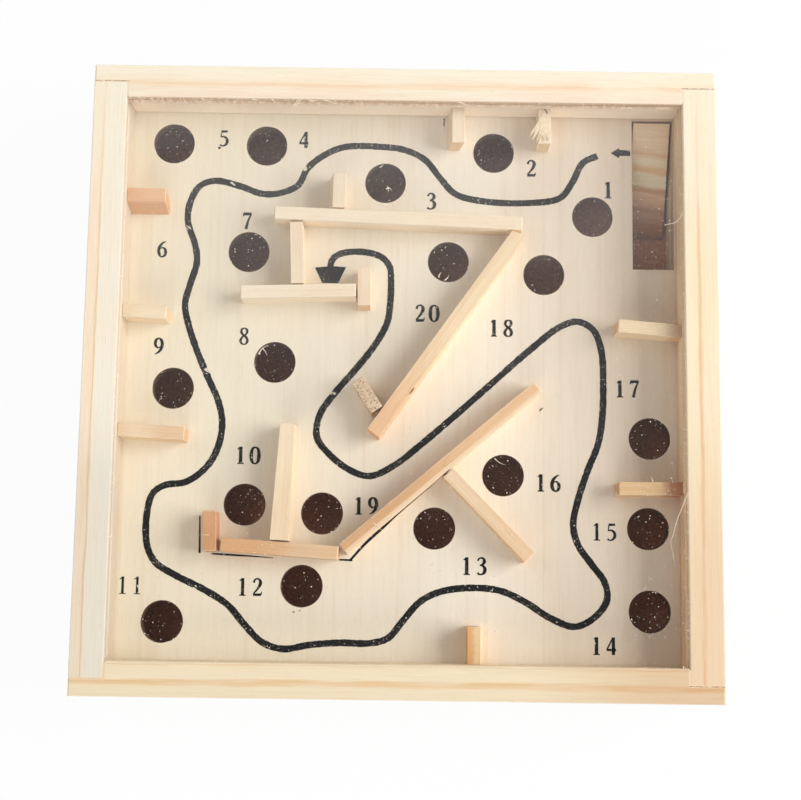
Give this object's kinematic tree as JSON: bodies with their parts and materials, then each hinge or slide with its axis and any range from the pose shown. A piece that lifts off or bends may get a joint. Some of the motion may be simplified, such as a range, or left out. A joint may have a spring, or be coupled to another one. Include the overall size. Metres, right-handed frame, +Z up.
{
  "type": "tilt labyrinth puzzle",
  "caption": "Square wooden dexterity puzzle: a drilled maze board with glued wall strips under a clear cover, and a lower tray with a ramp that returns the steel ball.",
  "frame": {"origin": "centre of the box's footprint on the table", "axes": "+X to the right, +Y to the back, +Z up out of the clear cover, seen with the numerals upright"},
  "size_m": [0.13, 0.13, 0.025],
  "materials": {
    "pine_rail": "sanded bare pine",
    "board_veneer": "pale plywood with printed ink",
    "strip_pale": "sawn bare wood",
    "strip_warm": "sawn bare wood, reddish",
    "end_grain": "open end grain",
    "ramp_pine": "sawn bare wood",
    "hardboard": "dark brown hardboard",
    "clear_plastic": "clear sheet",
    "polished_steel": "polished steel"
  },
  "bodies": {
    "box": {"front_rail": "pine_rail", "back_rail": "pine_rail", "left_rail": "pine_rail", "right_rail": "pine_rail", "base_panel": "hardboard", "return_ramp": "ramp_pine", "maze_board": "board_veneer", "clear_cover": "clear_plastic", "left_back_stub": "strip_warm", "left_middle_stub": "strip_pale", "left_front_strip": "strip_warm", "back_left_stub": "strip_pale", "back_right_stub": "strip_pale", "right_back_strip": "strip_pale", "right_front_strip": "strip_pale", "front_stub": "strip_warm", "top_bar": "strip_pale", "top_bar_stub": "strip_pale", "finish_side_strip": "strip_pale", "finish_bar": "strip_pale", "finish_end_stub": "strip_pale", "upper_diagonal": "strip_pale", "end_grain_stub": "end_grain", "lower_diagonal": "strip_warm", "lower_branch": "strip_pale", "corner_upright": "strip_pale", "corner_bar": "strip_warm", "corner_stub": "strip_warm"},
    "ball": {"steel_ball": "polished_steel"}
  },
  "joints": [
    {"name": "ball_roll", "type": "slide", "parent": "box", "child": "ball", "axis": [0, 1, 0], "range_m": [-0.034, 0.053]}
  ]
}
